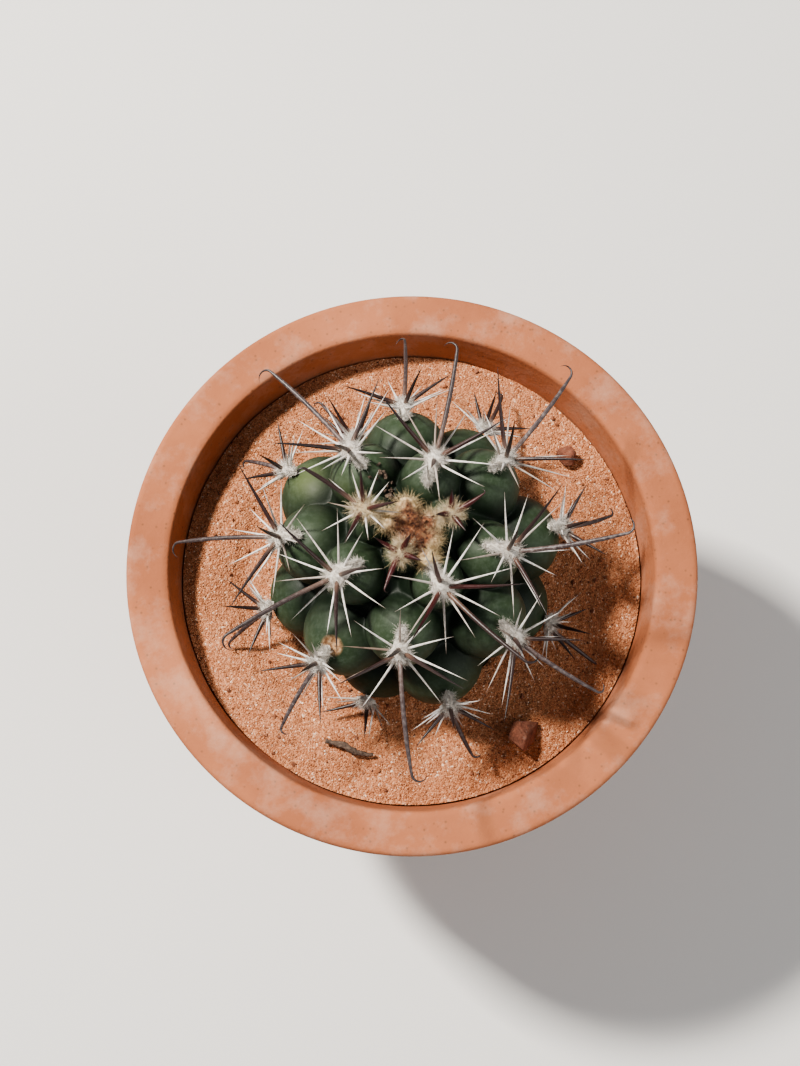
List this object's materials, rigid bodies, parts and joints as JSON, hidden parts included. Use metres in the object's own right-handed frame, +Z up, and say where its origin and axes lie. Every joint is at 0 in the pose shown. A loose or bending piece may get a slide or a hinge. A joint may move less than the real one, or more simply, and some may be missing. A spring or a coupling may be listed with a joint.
{
  "type": "potted round cactus",
  "caption": "Small round fishhook cactus with swollen tubercles and hooked spines, growing in red sand in a plain clay pot.",
  "frame": {"origin": "middle of the pot's foot, on the surface that it stands on", "axes": "+Z up out of the pot, +X to the right and +Y away from someone who looks down at the plant from its front"},
  "size_m": [0.11, 0.11, 0.1394],
  "materials": {
    "terracotta": "matt unglazed fired clay",
    "red_sand": "loose orange-pink quartz sand",
    "stem_green": "dull waxy blue-green skin",
    "cream_wool": "cream wool",
    "spine_horn": "white radial and dark hooked central spines on white wool",
    "sandstone": "rough red sandstone",
    "bark": "dead weathered twig"
  },
  "bodies": {
    "root": {"pot": "terracotta", "drainage_crock": "terracotta", "sand": "red_sand", "cactus_stem": "stem_green", "crown_wool": "cream_wool", "spine_cluster_01": "spine_horn", "spine_cluster_02": "spine_horn", "spine_cluster_03": "spine_horn", "spine_cluster_04": "spine_horn", "spine_cluster_05": "spine_horn", "spine_cluster_06": "spine_horn", "spine_cluster_07": "spine_horn", "spine_cluster_08": "spine_horn", "spine_cluster_09": "spine_horn", "spine_cluster_10": "spine_horn", "spine_cluster_11": "spine_horn", "spine_cluster_12": "spine_horn", "spine_cluster_13": "spine_horn", "spine_cluster_14": "spine_horn", "spine_cluster_15": "spine_horn", "spine_cluster_16": "spine_horn", "spine_cluster_17": "spine_horn", "spine_cluster_18": "spine_horn", "spine_cluster_19": "spine_horn", "spine_cluster_20": "spine_horn", "spine_cluster_21": "spine_horn", "spine_cluster_22": "spine_horn", "sandstone_clod": "sandstone", "small_pebble": "sandstone", "twig": "bark"}
  },
  "joints": []
}
